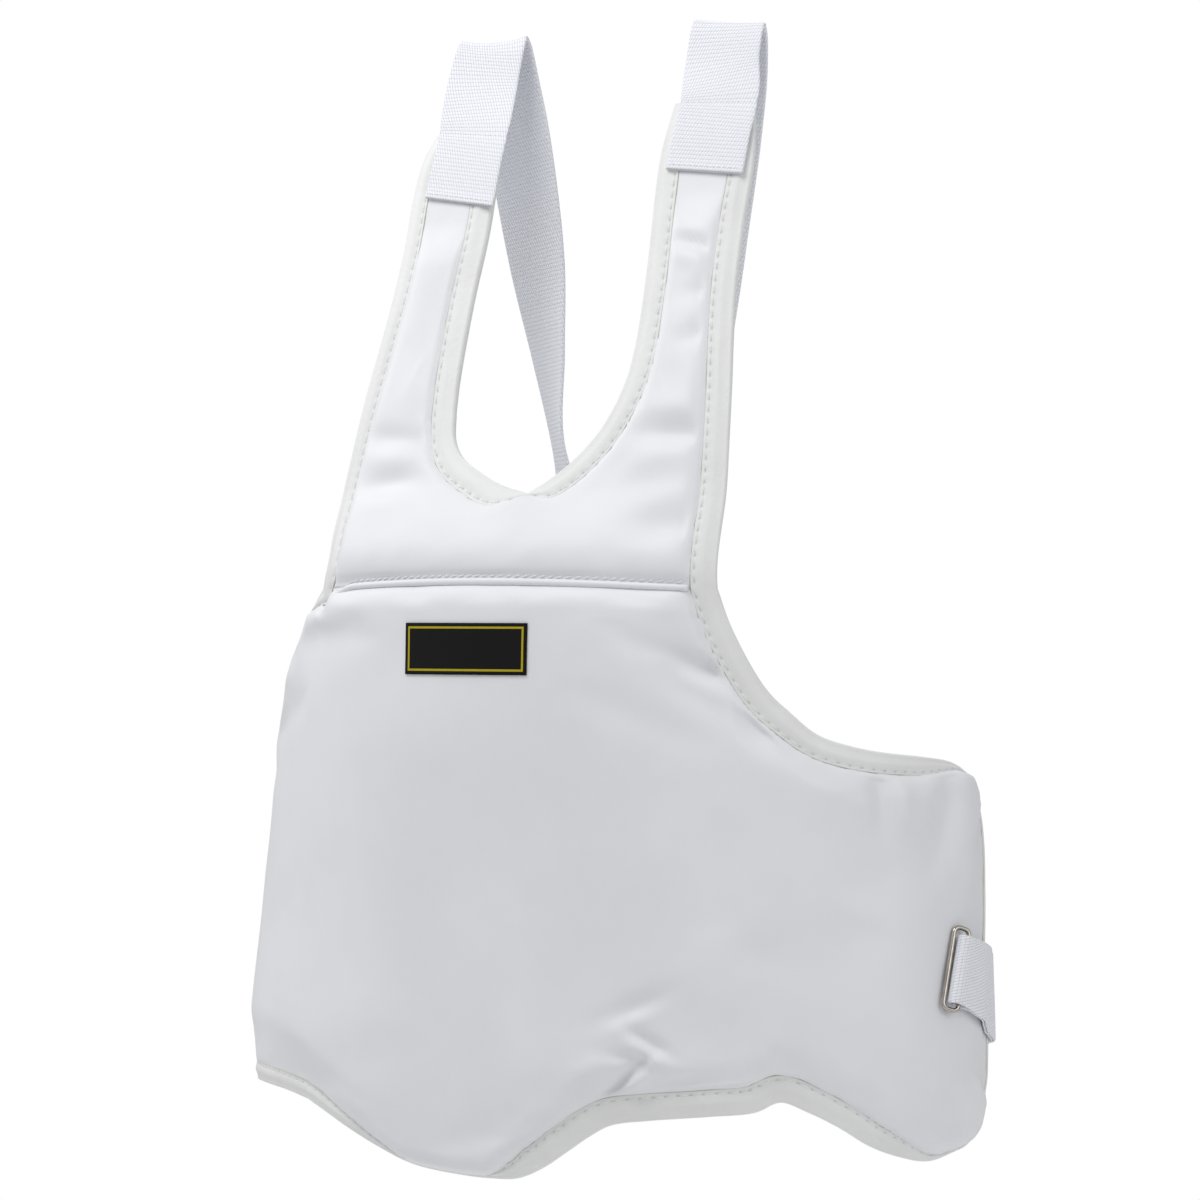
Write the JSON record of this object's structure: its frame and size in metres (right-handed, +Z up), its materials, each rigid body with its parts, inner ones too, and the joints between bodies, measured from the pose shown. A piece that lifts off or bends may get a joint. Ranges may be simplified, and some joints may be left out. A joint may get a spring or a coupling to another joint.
{
  "type": "body protector",
  "caption": "Padded chest and belly protector in its worn form, with a bound edge, a piped yoke seam, webbing shoulder straps crossing at the back and metal slot rings on the side wings.",
  "frame": {"origin": "on the shoulder line, midway between the highest points of the two shoulder straps", "axes": "+Z up, the guard's front faces -Y, +X is the viewer's right (the wearer's left)"},
  "size_m": [0.4143, 0.195, 0.561],
  "materials": {
    "vinyl": "smooth white vinyl over foam",
    "piping": "smooth white vinyl cord",
    "edge_tape": "warm white vinyl tape, stitched",
    "webbing": "bluish white woven webbing",
    "nickel_wire": "nickel plated wire",
    "label_weave": "black woven patch with a plain border"
  },
  "bodies": {
    "guard": {"chest_panel": "vinyl", "yoke": "vinyl", "yoke_piping": "piping", "neck_binding": "edge_tape", "outer_binding": "edge_tape", "shoulder_strap_left": "webbing", "shoulder_strap_right": "webbing", "ring_tab_left": "webbing", "ring_tab_right": "webbing", "label": "label_weave"},
    "ring_left": {"ring_left": "nickel_wire"},
    "ring_right": {"ring_right": "nickel_wire"}
  },
  "joints": [
    {"name": "ring_left_swing", "type": "hinge", "parent": "guard", "child": "ring_left", "pos_m": [-0.20351, 0.00035, -0.45936], "axis": [-0.08, -0.3651, -0.9275], "range_deg": [0, 150]},
    {"name": "ring_right_swing", "type": "hinge", "parent": "guard", "child": "ring_right", "pos_m": [0.20327, -0.01006, -0.4599], "axis": [-0.0188, 0.3567, 0.934], "range_deg": [0, 150]}
  ]
}
